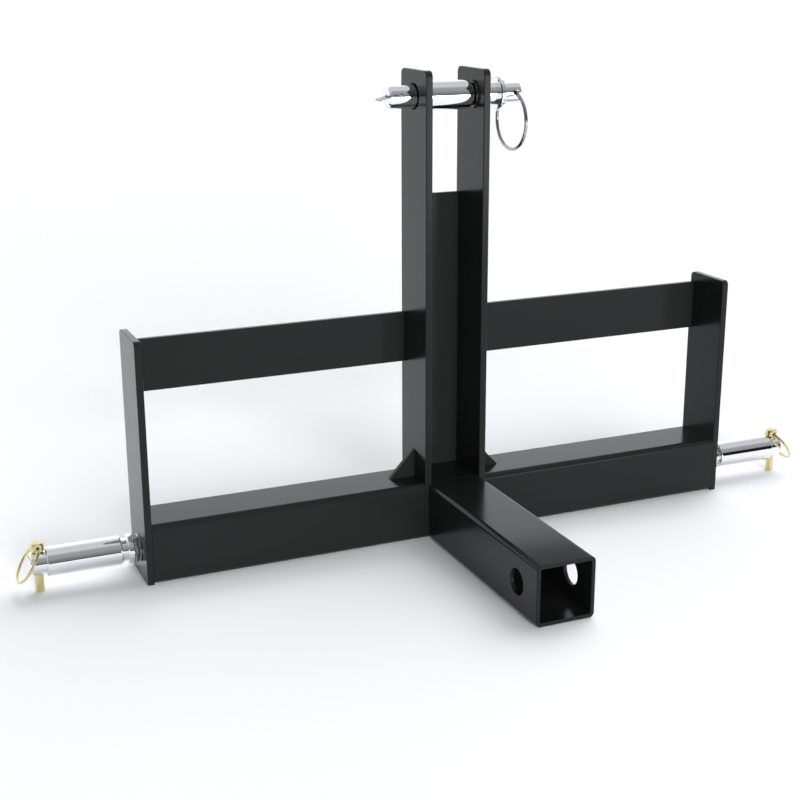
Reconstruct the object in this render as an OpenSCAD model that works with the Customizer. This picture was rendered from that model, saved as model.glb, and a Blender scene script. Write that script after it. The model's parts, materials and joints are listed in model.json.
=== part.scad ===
// Three-point receiver hitch
// A welded frame that hangs on a tractor's three-point linkage and carries a square
// receiver tube. Two lower pins with linchpins take the lift arms, and a top pin with
// a pull ring and a hairpin clip takes the top link.
// Millimetres. X runs across the tractor, Y to the rear of the frame, Z up.
// The origin is the centre of the crossbar's underside.

/* [Frame] */
// Width over the two end plates
frame_w = 650; // [560:1:760]
// Outside size of the square crossbar tube, and the depth of every plate
bar_size = 60; // [56:1:76]
// Wall of the crossbar tube
bar_wall = 4; // [3:0.5:6]
// Outside corner radius of the crossbar tube
bar_corner = 6; // [4:0.5:9]
// Thickness of the end plates
plate_t = 7; // [5:0.5:12]
// Height of the end plates
plate_h = 240; // [220:1:300]
// Radius of the end plates' top corners
plate_corner = 5; // [2:0.5:12]
// Height of the upper rails
rail_h = 52; // [30:1:70]
// Thickness of the upper rails
rail_t = 6; // [4:0.5:10]
// Drop from the end plates' top to the upper rails' top
rail_drop = 11; // [4:1:30]

/* [Mast] */
// Clear gap between the mast plates
mast_gap = 54; // [50:0.5:70]
// Thickness of the mast plates
mast_t = 7; // [5:0.5:12]
// Height of the mast's top above the floor
mast_top = 472; // [430:1:560]
// Radius of the mast plates' top corners
mast_corner = 6; // [2:0.5:12]
// Thickness of the back plate between the mast plates
back_t = 5; // [4:0.5:10]
// Height of the back plate's top above the floor
back_top = 348; // [250:1:370]
// Height of the gussets at the mast's foot
gusset_h = 30; // [20:1:60]
// Reach of the gussets along the crossbar
gusset_w = 28; // [20:1:60]
// Thickness of the gussets
gusset_t = 6; // [4:0.5:10]

/* [Receiver] */
// Outside size of the receiver tube
receiver_size = 60; // [58:0.5:70]
// Wall of the receiver tube
receiver_wall = 4; // [3:0.25:6.5]
// Outside corner radius of the receiver tube
receiver_corner = 5; // [4:0.5:8]
// Length of the receiver tube
receiver_len = 230; // [150:1:320]
// Diameter of the hitch pin hole
hitch_hole_d = 25; // [16:0.5:28]
// Distance from the mouth to the hitch pin hole
hitch_hole_in = 38; // [30:1:70]

/* [Lower pins] */
// Diameter of the lower pins
lower_pin_d = 22.2; // [19:0.1:25.4]
// Height of the lower pins' axis above the floor
lower_pin_up = 28.9; // [26:0.1:34]
// Outside diameter of the bushing sleeves
sleeve_od = 28.6; // [27:0.1:36]
// Length of the lower bushing sleeves
sleeve_len = 71.5; // [50:0.5:110]
// Bare pin between a sleeve and its pin's flange, as the sleeve stands against the linchpin
sleeve_play = 5.5; // [0.5:0.1:8]
// Diameter of the pin's flange
flange_d = 29; // [26:0.5:34]
// Thickness of the flange
flange_t = 6; // [3:0.5:12]
// Diameter of the threaded stud
stud_d = 19; // [14:0.5:20]
// Length of stud past the weld nut
stud_tail = 3; // [1:0.5:10]
// Size of the lock nut across its flats
lock_nut_af = 25; // [24:0.5:32]
// Thickness of the lock nut
lock_nut_h = 5; // [4:0.5:14]
// Outside diameter of the washer
washer_od = 28; // [27:0.5:38]
// Thickness of the washer
washer_t = 1.5; // [1:0.1:4]
// Size of the inner weld nut across its flats
weld_nut_af = 28.6; // [26:0.1:32]
// Thickness of the inner weld nut
weld_nut_h = 14; // [8:0.5:20]
// Distance from the linchpin hole to the pin's end
pin_end_margin = 8; // [7:0.1:16]

/* [Linchpins] */
// Diameter of the linchpin's shank
linchpin_d = 9; // [7:0.1:11]
// Length of the shank under the head
linchpin_len = 40; // [30:0.5:42]
// Diameter of the head
linchpin_head_d = 13; // [12:0.5:20]
// Width of the head over its two flats
linchpin_head_w = 11; // [9:0.5:14]
// Height of the head
linchpin_head_h = 9.5; // [9:0.5:16]
// Radius of the head's domed top
linchpin_dome = 2.5; // [1:0.1:4]
// Bevel under the head
linchpin_bevel = 2; // [0.5:0.1:2.4]
// Height of the ring hole above the head's underside
linchpin_eye_up = 4.4; // [4:0.1:6]
// Diameter of the ring hole
linchpin_eye_d = 4.8; // [4.6:0.1:6]
// Outside diameter of the snap ring
snap_ring_od = 40; // [38:0.5:56]
// Wire of the snap ring
snap_ring_wire = 2.8; // [2:0.1:3]
// Angle at which the left snap ring hangs off the pin's end
snap_tilt_left = 33; // [20:1:60]
// Angle at which the right snap ring hangs off the pin's end
snap_tilt_right = 34; // [20:1:60]

/* [Top pin] */
// Diameter of the top pin
top_pin_d = 22.2; // [19:0.1:25]
// Diameter of the holes in the mast plates
top_hole_d = 25.4; // [25.2:0.1:28]
// Drop from the mast's top to the top pin's axis
top_hole_drop = 25.5; // [22:0.5:50]
// Bare pin between the top sleeve and the right mast plate
top_sleeve_play = 3.5; // [0.5:0.1:8]
// Reach of the pin past the left mast plate
top_pin_out = 28.5; // [20:0.5:50]
// Distance from the pin's left end to the clip's hole
clip_from_end = 7; // [5:0.5:14]
// Free shank between the right mast plate and the stop disc
stop_gap = 19; // [4:0.5:30]
// Diameter of the stop disc
stop_disc_d = 34.5; // [30:0.5:45]
// Thickness of the stop disc
stop_disc_t = 2.5; // [2:0.5:6]
// Diameter of the stop collar's hub
stop_hub_d = 28; // [25:0.5:34]
// Length of the stop collar's hub
stop_hub_len = 5; // [3:0.5:12]
// Diameter of the pin's tail
tail_d = 20; // [16:0.5:21]
// Length of tail past the stop collar
tail_len = 19; // [16:0.5:30]
// Distance from the tail's end to the pull ring's hole
ring_from_end = 7; // [6:0.5:10]
// Diameter of the pull ring's hole
ring_hole_d = 7.6; // [7.4:0.1:9]
// Outside diameter of the pull ring
pull_ring_od = 60; // [50:0.5:80]
// Wire of the pull ring
pull_ring_wire = 3.5; // [2.5:0.1:3.6]
// Turn of the pull ring in its loose hole
pull_ring_yaw = 3; // [0:0.5:8]

/* [Hairpin clip] */
// Wire of the clip
clip_wire = 3; // [2:0.1:4]
// Reach of the clip's straight leg past the front of the pin
clip_front = 11; // [5:0.5:20]
// Reach of the clip's legs past the back of the pin, up to the bend
clip_back = 7; // [4:0.5:15]
// Turn of the clip about the pin's axis
clip_tilt = 10; // [0:1:45]
// Splay of the outer leg's tip
clip_splay = 35; // [20:1:45]

/* [Fits] */
// Running clearance of a bushing sleeve on its pin, on the radius
run_clear = 0.05; // [0.02:0.01:0.1]
// Play at each end of a sleeve, and between pieces that only rest on each other
end_play = 0.3; // [0.2:0.05:0.6]
// Clearance of a loose pin or wire in its hole, on the radius
loose_clear = 0.4; // [0.3:0.05:0.6]
// Chamfer on the ends of pins, studs and sleeves
pin_chamfer = 1.5; // [0.5:0.1:2]
// Chamfer on flanges, discs and linchpins
edge_chamfer = 0.8; // [0.3:0.1:1]

/* [Hidden] */
$fn = 72;
LEFT = -1;
RIGHT = 1;
// Paint and plating
paint = "#1d1e20";
steel = "#c9ccd0";
zinc = "#aeb4b2";
yellow_zinc = "#c9b887";
// Places in the frame
half_w = frame_w / 2;
depth = bar_size;
bar_len = frame_w - 2 * plate_t;
mast_out = mast_gap / 2 + mast_t;
rail_top = plate_h - rail_drop;
rail_len = half_w - plate_t - mast_out;
// The mast's feet reach this far down over the crossbar's round corners
foot_drop = bar_corner / 2;
// Stations along a lower pin, measured from the middle of the frame
nut_face = half_w + washer_t + lock_nut_h;
flange_face = nut_face + flange_t;
sleeve_from = flange_face + sleeve_play;
linchpin_x = sleeve_from + sleeve_len + end_play + linchpin_head_d / 2;
pin_end = linchpin_x + pin_end_margin;
stud_end = half_w - plate_t - weld_nut_h - stud_tail;
// Heights on a linchpin
head_z = lower_pin_up + lower_pin_d / 2 + end_play;
eye_z = head_z + linchpin_eye_up;
// Stations along the top pin
top_z = mast_top - top_hole_drop;
top_pin_left = -mast_out - top_pin_out;
clip_x = top_pin_left + clip_from_end;
stop_x = mast_out + stop_gap;
tail_x = stop_x + stop_disc_t + stop_hub_len;
tail_end = tail_x + tail_len;
ring_x = tail_end - ring_from_end;
// Half the spacing of the clip's legs, which is its bend's radius
clip_bend = (clip_from_end + end_play + clip_wire / 2) / 2;
cut = 1;

// Draws a left piece as the mirror image of the right one
module on_side(side) {
    if (side < 0) mirror([1, 0, 0]) children();
    else children();
}

// Square outline with four round corners
module round_square(size, r) {
    square([size - 2 * r, size], center = true);
    square([size, size - 2 * r], center = true);
    for (x = [-1, 1], y = [-1, 1])
        translate([x * (size / 2 - r), y * (size / 2 - r)]) circle(r);
}

// Section of a square tube
module tube_section(size, wall, corner) {
    difference() {
        round_square(size, corner);
        round_square(size - 2 * wall, max(corner - wall, 1));
    }
}

// Outline of an upright plate on its foot, with its two top corners round
module upright_outline(w, h, r) {
    translate([-w / 2, 0]) square([w, h - r]);
    translate([-w / 2 + r, 0]) square([w - 2 * r, h]);
    for (x = [-1, 1]) translate([x * (w / 2 - r), h - r]) circle(r);
}

// Upright plate in the YZ plane, between x and x + t
module upright_plate(x, t, z0, z1, r) {
    translate([x, 0, z0]) rotate([90, 0, 90]) linear_extrude(t) upright_outline(depth, z1 - z0, r);
}

// Solid of revolution about an axis along X, from [radius, station] points
module turned(profile) {
    rotate([0, 90, 0]) rotate_extrude() polygon(profile);
}

// Plain bar or hole along X
module bar_x(d, x0, x1) {
    translate([x0, 0, 0]) rotate([0, 90, 0]) cylinder(d = d, h = x1 - x0);
}

// Bar or hole along Y, centred
module bar_y(d, length) {
    rotate([90, 0, 0]) cylinder(d = d, h = length, center = true);
}

// Bushing sleeve along X with chamfered ends
module bushing(x0, x1, od, id) {
    chamfer = min(pin_chamfer, (od - id) / 4);
    turned([[id / 2, x0], [od / 2 - chamfer, x0], [od / 2, x0 + chamfer],
            [od / 2, x1 - chamfer], [od / 2 - chamfer, x1], [id / 2, x1]]);
}

// Hexagon nut along X with its outer corners chamfered and a clear bore
module hex_nut(x0, h, af, bore) {
    across = af / cos(30);
    fall = (across - af) / 2 * tan(30);
    difference() {
        intersection() {
            translate([x0, 0, 0]) rotate([0, 90, 0]) rotate([0, 0, 30]) cylinder(d = across, h = h, $fn = 6);
            turned([[0, x0], [af / 2, x0], [across / 2, x0 + fall],
                    [across / 2, x0 + h - fall], [af / 2, x0 + h], [0, x0 + h]]);
        }
        bar_x(bore, x0 - cut, x0 + h + cut);
    }
}

// Cuts the feet of what stands on the crossbar to its round corners
module coped() {
    difference() {
        children();
        translate([-half_w, 0, bar_size / 2]) rotate([90, 0, 90])
            linear_extrude(frame_w) round_square(bar_size, bar_corner);
    }
}

module crossbar_tube() {
    color(paint) translate([-bar_len / 2, 0, bar_size / 2]) rotate([90, 0, 90])
        linear_extrude(bar_len) tube_section(bar_size, bar_wall, bar_corner);
}

module receiver_tube() {
    mouth = -depth / 2 - receiver_len;
    color(paint) difference() {
        translate([0, -depth / 2, receiver_size / 2]) rotate([90, 0, 0])
            linear_extrude(receiver_len) tube_section(receiver_size, receiver_wall, receiver_corner);
        translate([0, mouth + hitch_hole_in, receiver_size / 2])
            bar_x(hitch_hole_d, -receiver_size / 2 - cut, receiver_size / 2 + cut);
    }
}

module end_plate(side) {
    color(paint) on_side(side) difference() {
        upright_plate(half_w - plate_t, plate_t, 0, plate_h, plate_corner);
        translate([0, 0, lower_pin_up]) bar_x(stud_d + 2 * loose_clear, half_w - plate_t - cut, half_w + cut);
    }
}

module upper_rail(side) {
    color(paint) on_side(side)
        translate([mast_out, depth / 2 - rail_t, rail_top - rail_h]) cube([rail_len, rail_t, rail_h]);
}

module mast_plate(side) {
    color(paint) on_side(side) difference() {
        coped() upright_plate(mast_gap / 2, mast_t, bar_size - foot_drop, mast_top, mast_corner);
        translate([0, 0, top_z]) bar_x(top_hole_d, mast_gap / 2 - cut, mast_out + cut);
    }
}

module mast_back_plate() {
    foot = bar_size - foot_drop;
    color(paint) coped() translate([-mast_gap / 2, depth / 2 - back_t, foot])
        cube([mast_gap, back_t, back_top - foot]);
}

module gusset(side) {
    color(paint) on_side(side) translate([mast_out, gusset_t / 2, bar_size]) rotate([90, 0, 0])
        linear_extrude(gusset_t) polygon([[0, 0], [gusset_w, 0], [0, gusset_h]]);
}

// Threaded stud, flange and plain pin, turned from one bar
module lower_pin(side) {
    stud_r = stud_d / 2;
    flange_r = flange_d / 2;
    pin_r = lower_pin_d / 2;
    color(steel) on_side(side) translate([0, 0, lower_pin_up]) difference() {
        turned([[0, stud_end], [stud_r - pin_chamfer, stud_end], [stud_r, stud_end + pin_chamfer],
                [stud_r, nut_face], [flange_r - edge_chamfer, nut_face], [flange_r, nut_face + edge_chamfer],
                [flange_r, flange_face - edge_chamfer], [flange_r - edge_chamfer, flange_face],
                [pin_r, flange_face],
                [pin_r, pin_end - pin_chamfer], [pin_r - pin_chamfer, pin_end], [0, pin_end]]);
        translate([linchpin_x, 0, 0])
            cylinder(d = linchpin_d + 2 * loose_clear, h = lower_pin_d + 2 * cut, center = true);
    }
}

module weld_nut(side) {
    color(zinc) on_side(side) translate([0, 0, lower_pin_up])
        hex_nut(half_w - plate_t - weld_nut_h, weld_nut_h, weld_nut_af, stud_d + 2 * run_clear);
}

module pin_washer(side) {
    color(zinc) on_side(side) translate([0, 0, lower_pin_up]) difference() {
        bar_x(washer_od, half_w, half_w + washer_t);
        bar_x(stud_d + 2 * run_clear, half_w - cut, half_w + washer_t + cut);
    }
}

module lock_nut(side) {
    color(zinc) on_side(side) translate([0, 0, lower_pin_up])
        hex_nut(half_w + washer_t, lock_nut_h, lock_nut_af, stud_d + 2 * run_clear);
}

module sleeve(side) {
    color(steel) on_side(side) translate([0, 0, lower_pin_up])
        bushing(sleeve_from, sleeve_from + sleeve_len, sleeve_od, lower_pin_d + 2 * run_clear);
}

// Shank and domed head, turned from one bar, with two flats and a hole for the ring
module linchpin(side) {
    shank_r = linchpin_d / 2;
    head_r = linchpin_head_d / 2;
    dome = linchpin_dome;
    crown_r = head_r - dome;
    crown_z = linchpin_head_h - dome;
    bevel = linchpin_bevel;
    tip = -linchpin_len;
    color(yellow_zinc) on_side(side) translate([linchpin_x, 0, head_z]) difference() {
        union() {
            rotate_extrude() polygon([[0, tip], [shank_r - edge_chamfer, tip],
                [shank_r, tip + edge_chamfer], [shank_r, 0], [0, 0]]);
            intersection() {
                rotate_extrude() polygon(concat([[0, 0], [head_r - bevel, 0], [head_r, bevel]],
                    [for (a = [0 : 15 : 75]) [crown_r + dome * cos(a), crown_z + dome * sin(a)]],
                    [[crown_r, linchpin_head_h], [0, linchpin_head_h]]));
                translate([-head_r - cut, -linchpin_head_w / 2, -cut])
                    cube([linchpin_head_d + 2 * cut, linchpin_head_w, linchpin_head_h + 2 * cut]);
            }
        }
        translate([0, 0, linchpin_eye_up]) bar_y(linchpin_eye_d, linchpin_head_d + 2 * cut);
    }
}

// Wire ring in the YZ plane that hangs from a hole at the origin, its arc centred along the hole
module hung_ring(od, wire, hole_len) {
    bend = (od - wire) / 2;
    sag = bend - sqrt(bend * bend - hole_len * hole_len / 4);
    translate([0, 0, sag / 2 - bend]) rotate([0, 90, 0])
        rotate_extrude() translate([bend, 0]) circle(d = wire, $fn = 32);
}

module snap_ring(side) {
    tilt = side < 0 ? snap_tilt_left : snap_tilt_right;
    color(yellow_zinc) on_side(side) translate([linchpin_x, 0, eye_z]) rotate([0, -tilt, 0])
        hung_ring(snap_ring_od, snap_ring_wire, linchpin_head_w);
}

module top_sleeve() {
    color(steel) translate([0, 0, top_z])
        bushing(-mast_gap / 2 + end_play, mast_gap / 2 - top_sleeve_play,
                sleeve_od, top_pin_d + 2 * run_clear);
}

// Pin with a stepped tail, drilled for the clip at one end and for the pull ring at the other
module top_pin() {
    pin_r = top_pin_d / 2;
    tail_r = tail_d / 2;
    color(steel) translate([0, 0, top_z]) difference() {
        turned([[0, top_pin_left], [pin_r - pin_chamfer, top_pin_left], [pin_r, top_pin_left + pin_chamfer],
                [pin_r, stop_x], [tail_r, stop_x], [tail_r, tail_end - pin_chamfer],
                [tail_r - pin_chamfer, tail_end], [0, tail_end]]);
        translate([clip_x, 0, 0]) rotate([-clip_tilt, 0, 0])
            bar_y(clip_wire + 2 * loose_clear, top_pin_d + 2 * cut);
        translate([ring_x, 0, 0]) bar_y(ring_hole_d, tail_d + 2 * cut);
    }
}

// Flanged collar pressed on the tail against the pin's step
module stop_collar() {
    disc_r = stop_disc_d / 2;
    hub_r = stop_hub_d / 2;
    color(steel) translate([0, 0, top_z])
        turned([[tail_d / 2, stop_x], [disc_r - edge_chamfer, stop_x], [disc_r, stop_x + edge_chamfer],
                [disc_r, stop_x + stop_disc_t], [hub_r, stop_x + stop_disc_t],
                [hub_r, tail_x - edge_chamfer], [hub_r - edge_chamfer, tail_x], [tail_d / 2, tail_x]]);
}

module pull_ring() {
    color(steel) translate([ring_x, 0, top_z]) rotate([0, 0, pull_ring_yaw])
        hung_ring(pull_ring_od, pull_ring_wire, tail_d);
}

// Arc of wire in the XY plane about the origin, from the X axis through a turn
module wire_arc(r, turn) {
    rotate_extrude(angle = turn) translate([r, 0]) circle(d = clip_wire, $fn = 32);
}

// Straight piece of wire along +Y from the origin
module wire_rod(length) {
    rotate([-90, 0, 0]) cylinder(d = clip_wire, h = length, $fn = 32);
}

// Straight leg through the pin, bend behind it and an outer leg across the pin's end
module hairpin_clip() {
    reach = top_pin_d / 2;
    front = -reach - clip_front;
    back = reach + clip_back;
    outer = -2 * clip_bend;
    splay_y = -reach / 3;
    splay_r = 4 * clip_wire;
    color(steel) translate([clip_x, 0, top_z]) rotate([-clip_tilt, 0, 0]) {
        translate([0, front, 0]) wire_rod(back - front);
        translate([-clip_bend, back, 0]) wire_arc(clip_bend, 180);
        translate([outer, splay_y, 0]) wire_rod(back - splay_y);
        translate([outer - splay_r, splay_y, 0]) mirror([0, 1, 0]) wire_arc(splay_r, clip_splay);
    }
}

crossbar_tube();
receiver_tube();
end_plate(LEFT);  // end_plate_left
end_plate(RIGHT);  // end_plate_right
upper_rail(LEFT);  // upper_rail_left
upper_rail(RIGHT);  // upper_rail_right
mast_plate(LEFT);  // mast_plate_left
mast_plate(RIGHT);  // mast_plate_right
mast_back_plate();
gusset(LEFT);  // gusset_left
gusset(RIGHT);  // gusset_right
lower_pin(LEFT);  // lower_pin_left
lower_pin(RIGHT);  // lower_pin_right
weld_nut(LEFT);  // weld_nut_left
weld_nut(RIGHT);  // weld_nut_right
pin_washer(LEFT);  // pin_washer_left
pin_washer(RIGHT);  // pin_washer_right
lock_nut(LEFT);  // lock_nut_left
lock_nut(RIGHT);  // lock_nut_right
sleeve(LEFT);  // sleeve_left
sleeve(RIGHT);  // sleeve_right
linchpin(LEFT);  // linchpin_left
linchpin(RIGHT);  // linchpin_right
snap_ring(LEFT);  // snap_ring_left
snap_ring(RIGHT);  // snap_ring_right
top_sleeve();
top_pin();
stop_collar();
pull_ring();
hairpin_clip();
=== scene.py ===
"""The visible pieces, finishes and studio of a three-point receiver hitch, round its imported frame."""

import json
import math

import bmesh
import bpy
from bpy.props import FloatProperty, FloatVectorProperty, PointerProperty
from mathutils import Matrix, Vector


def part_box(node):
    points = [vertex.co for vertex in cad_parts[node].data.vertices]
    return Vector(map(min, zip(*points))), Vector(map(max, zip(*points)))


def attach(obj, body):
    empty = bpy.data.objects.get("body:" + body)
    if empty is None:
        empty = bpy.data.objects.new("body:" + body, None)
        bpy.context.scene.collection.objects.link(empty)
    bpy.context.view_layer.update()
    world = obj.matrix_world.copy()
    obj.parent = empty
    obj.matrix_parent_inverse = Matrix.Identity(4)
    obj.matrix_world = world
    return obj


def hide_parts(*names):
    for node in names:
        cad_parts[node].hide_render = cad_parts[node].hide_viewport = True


bl_info = {
    "name": "Three-point receiver hitch",
    "version": (1, 0, 0),
    "blender": (4, 5, 0),
    "location": "3D View > Sidebar > Receiver hitch",
    "description": "Builds a receiver hitch's coated frame, pins and studio round its frame",
    "category": "Object",
}

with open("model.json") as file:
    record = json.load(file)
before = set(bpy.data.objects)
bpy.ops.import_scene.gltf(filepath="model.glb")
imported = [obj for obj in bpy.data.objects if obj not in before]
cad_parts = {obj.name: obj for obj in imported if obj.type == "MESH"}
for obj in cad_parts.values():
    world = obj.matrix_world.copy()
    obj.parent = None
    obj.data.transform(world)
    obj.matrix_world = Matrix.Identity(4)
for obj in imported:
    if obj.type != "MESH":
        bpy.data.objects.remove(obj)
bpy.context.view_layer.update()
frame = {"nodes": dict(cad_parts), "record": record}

MM = 0.001
LEFT, RIGHT = -1, 1
SIDES = (("left", LEFT), ("right", RIGHT))
X, Y, Z = range(3)
ALONG_X = (0, math.pi / 2, 0)
ALONG_Y = (math.pi / 2, 0, 0)
SMOOTH_ANGLE = math.radians(35)

# Points closer than this are one point
MERGE = 0.01 * MM
# Unit vectors whose product is above this run the same way
PARALLEL = 0.999
# A drill of this length passes right through any piece
THROUGH = 200 * MM
# How much wider than the stud and the clip's wire their holes are
STUD_PLAY = 1 * MM
CLIP_PLAY = 0.8 * MM
# The wire's sides, a ring's steps, the gap where its ends meet and the round on each end
WIRE_SIDES = 24
RING_STEPS = 120
RING_GAP = 0.3 * MM
RING_ROUND = 0.1 * MM
# The clip's steps in its bend and its splay, and the round on its ends
BEND_STEPS = 24
SPLAY_STEPS = 10
CLIP_ROUND = 0.5 * MM
# Steps in the dome of a linchpin's head
DOME_STEPS = 6

# The record's material slots, each with a finish of the same name
COAT = "black_powder_coat"
STEEL = "bright_plated_steel"
ZINC = "clear_zinc"
GOLD = "yellow_zinc"
WIRE = "spring_wire"


def length(name, text, default):
    """A size in metres, shown in the unit of the file."""
    return FloatProperty(
        name=name, description=text, default=default, unit="LENGTH", precision=4, min=0,
    )


def angle(name, text, default):
    """An angle, given in degrees and kept in radians."""
    return FloatProperty(name=name, description=text, default=math.radians(default), subtype="ANGLE")


def colour(name, text, default):
    """A linear colour."""
    return FloatVectorProperty(
        name=name, description=text, default=default, subtype="COLOR", min=0, max=1,
    )


class FrameSizes(bpy.types.PropertyGroup):
    """Sizes of the coated frame that its boxes don't give."""

    coat_edge: length("Coated edge", "Radius that the coat gives to a plate's cut edges", 0.8 * MM)
    plate_corner: length("End plate corner", "Radius of an end plate's top corners", 5 * MM)
    mast_corner: length("Mast corner", "Radius of a mast plate's top corners", 6 * MM)
    top_hole: length("Top pin hole", "Diameter of the mast plates' holes", 25.4 * MM)
    crossbar_corner: length("Crossbar corner", "Outer corner radius of the crossbar", 6 * MM)
    receiver_wall: length("Wall", "Wall of the crossbar and the receiver tube", 4 * MM)
    receiver_corner: length("Receiver corner", "Outer corner radius of the receiver tube", 5 * MM)
    hitch_hole: length("Hitch pin hole", "Diameter of the receiver's cross hole", 25 * MM)
    hitch_hole_in: length("Hitch hole's place", "From the receiver's mouth to the cross hole", 38 * MM)


class PinSizes(bpy.types.PropertyGroup):
    """Sizes of the pins, nuts, rings and clip that their boxes don't give."""

    steel_edge: length("Turned edge", "Radius on the turned pieces' edges", 0.35 * MM)
    chamfer: length("Chamfer", "Chamfer at the pins' ends", 1.5 * MM)
    edge_chamfer: length("Small chamfer", "Chamfer on flanges, discs and linchpins", 0.8 * MM)
    sleeve_round: length("Sleeve's round", "Radius on a sleeve's outer ends", 1.6 * MM)
    pin: length("Pin", "Diameter of the lower and top pins", 22.2 * MM)
    clearance: length("Clearance", "Room between a pin and its sleeve, to each side", 0.05 * MM)
    flange_thick: length("Flange", "Thickness of a lower pin's flange", 6 * MM)
    stud: length("Stud", "Diameter of a lower pin's stud", 19 * MM)
    cross_hole: length("Linchpin's hole", "Diameter of a lower pin's cross hole", 9.8 * MM)
    nut_flats: length("Nut", "Lock nut across its flats", 25 * MM)
    shank: length("Shank", "Diameter of a linchpin's shank", 9 * MM)
    head: length("Head", "Diameter of a linchpin's head", 13 * MM)
    head_flats: length("Head's flats", "Width of the head across its flats", 11 * MM)
    head_high: length("Head's height", "Height of the head above the shank", 9.5 * MM)
    dome: length("Dome", "Radius of the head's domed top", 2.5 * MM)
    head_bevel: length("Head's bevel", "Bevel under the head", 2 * MM)
    eye: length("Eye", "Diameter of the head's hole", 4.8 * MM)
    eye_up: length("Eye's height", "From the foot of the head to the hole", 4.4 * MM)
    snap_wire: length("Snap ring wire", "Wire of the linchpins' rings", 2.8 * MM)
    snap_ring: length("Snap ring", "Outer diameter of the linchpins' rings", 40 * MM)
    snap_lean_left: angle("Left ring's lean", "How far the left snap ring hangs outwards", 33)
    snap_lean_right: angle("Right ring's lean", "How far the right snap ring hangs outwards", 34)
    tail: length("Tail", "Diameter of the top pin's stepped tail", 20 * MM)
    disc_thick: length("Stop disc", "Thickness of the stop collar's disc", 2.5 * MM)
    hub: length("Hub", "Diameter of the stop collar's hub", 28 * MM)
    ring_hole: length("Ring's hole", "Diameter of the top pin's hole for the pull ring", 7.6 * MM)
    ring_in: length("Ring's place", "From the tail's end to the pull ring's hole", 7 * MM)
    ring_wire: length("Pull ring wire", "Wire of the pull ring", 3.5 * MM)
    pull_ring: length("Pull ring", "Outer diameter of the pull ring", 60 * MM)
    ring_yaw: angle("Pull ring's yaw", "How far the pull ring is turned about the upright", 3)
    clip_wire: length("Clip wire", "Wire of the hairpin clip", 3 * MM)
    clip_in: length("Clip's place", "From the top pin's end to the clip's straight leg", 7 * MM)
    clip_front: length("Clip's front", "How far the straight leg stands out in front", 11 * MM)
    clip_back: length("Clip's back", "How far the legs stand out of the pin's back", 7 * MM)
    clip_bend: length("Clip's bend", "Radius of the bend behind the pin", 4.4 * MM)
    clip_tilt: angle("Clip's tilt", "How far the clip slopes down to the rear", 10)
    clip_splay: angle("Clip's splay", "Turn of the outer leg's free end", 35)


class FinishColours(bpy.types.PropertyGroup):
    """Colours of the finishes."""

    coat: colour("Powder coat", "Gloss black powder coat", (0.0082, 0.0088, 0.0087))
    coat_light: colour("Thin coat", "Where the powder coat lies thinner", (0.0096, 0.0101, 0.0102))
    steel: colour("Bright steel", "Bright plated pins and sleeves", (0.94, 0.945, 0.955))
    steel_dull: colour("Bright steel, dull", "Handled patches on the bright steel", (0.87, 0.88, 0.90))
    zinc: colour("Clear zinc", "Nuts and washers", (0.62, 0.66, 0.66))
    zinc_dull: colour("Clear zinc, dull", "Duller crystals in the zinc", (0.42, 0.47, 0.47))
    gold: colour("Yellow zinc", "Linchpins and snap rings", (0.74, 0.66, 0.34))
    gold_pink: colour("Yellow zinc, pink", "Pinkish passivated patches", (0.77, 0.64, 0.42))
    wire: colour("Spring wire", "Pull ring and clip", (0.50, 0.51, 0.53))
    wire_dark: colour("Spring wire, dark", "Drawing marks on the wire", (0.20, 0.21, 0.22))


class StudioSizes(bpy.types.PropertyGroup):
    """Camera, floor, lamps and flag."""

    place: FloatVectorProperty(
        name="Camera", description="Where the camera stands", subtype="TRANSLATION",
        default=(-599.72 * MM, -1275.24 * MM, 566.90 * MM),
    )
    aim: FloatVectorProperty(
        name="Aim", description="Point in the middle of the view", subtype="TRANSLATION",
        default=(-48.26 * MM, 1.86 * MM, 142.85 * MM),
    )
    roll: angle("Roll", "How far the camera leans to its right", 0.191)
    lens: FloatProperty(name="Lens", description="Focal length in millimetres", default=64.168, min=1)
    floor_size: length("Floor", "Side of the square floor", 80.0)
    floor_drop: length("Floor's drop", "How far the floor lies under the frame", 0.2 * MM)
    floor_colour: colour("Floor's colour", "Pale, a little bluish", (0.850, 0.868, 0.900))
    sky: FloatProperty(name="Sky", description="Strength of the even light all round", default=0.12)
    ceiling: FloatProperty(name="Ceiling", description="Strength of the lamp overhead", default=2.95)
    ceiling_spread: angle("Ceiling's spread", "How wide the lamp overhead is, seen from the object", 60)
    ceiling_from: FloatVectorProperty(
        name="Ceiling's side", description="Direction that the lamp overhead shines from",
        subtype="DIRECTION", default=(0.65, 0.5, 1.0),
    )
    fill: FloatProperty(name="Fill", description="Strength of the low lamp in front", default=6.8)
    fill_spread: angle("Fill's spread", "How wide the lamp in front is, seen from the object", 30)
    fill_from: FloatVectorProperty(
        name="Fill's side", description="Direction that the lamp in front shines from",
        subtype="DIRECTION", default=(-0.05, -1.0, 0.15),
    )
    box_place: FloatVectorProperty(
        name="Softbox", description="Middle of the softbox in front on the right",
        subtype="TRANSLATION", default=(1.12, -2.0, 0.225),
    )
    box_size: FloatVectorProperty(
        name="Softbox's size", description="Width and height of the softbox", size=2,
        default=(0.7, 0.45),
    )
    box_power: FloatProperty(name="Softbox's power", description="Power in watts", default=7.9)
    flag_place: FloatVectorProperty(
        name="Flag", description="Middle of the black flag beside the softbox",
        subtype="TRANSLATION", default=(2.15, -2.0, 0.52),
    )
    flag_size: FloatVectorProperty(
        name="Flag's size", description="Width and height of the black flag", size=2,
        default=(1.1, 1.04),
    )
    flag_colour: colour("Flag's colour", "Black cloth", (0.01, 0.01, 0.01))


# Modelling tools


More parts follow.
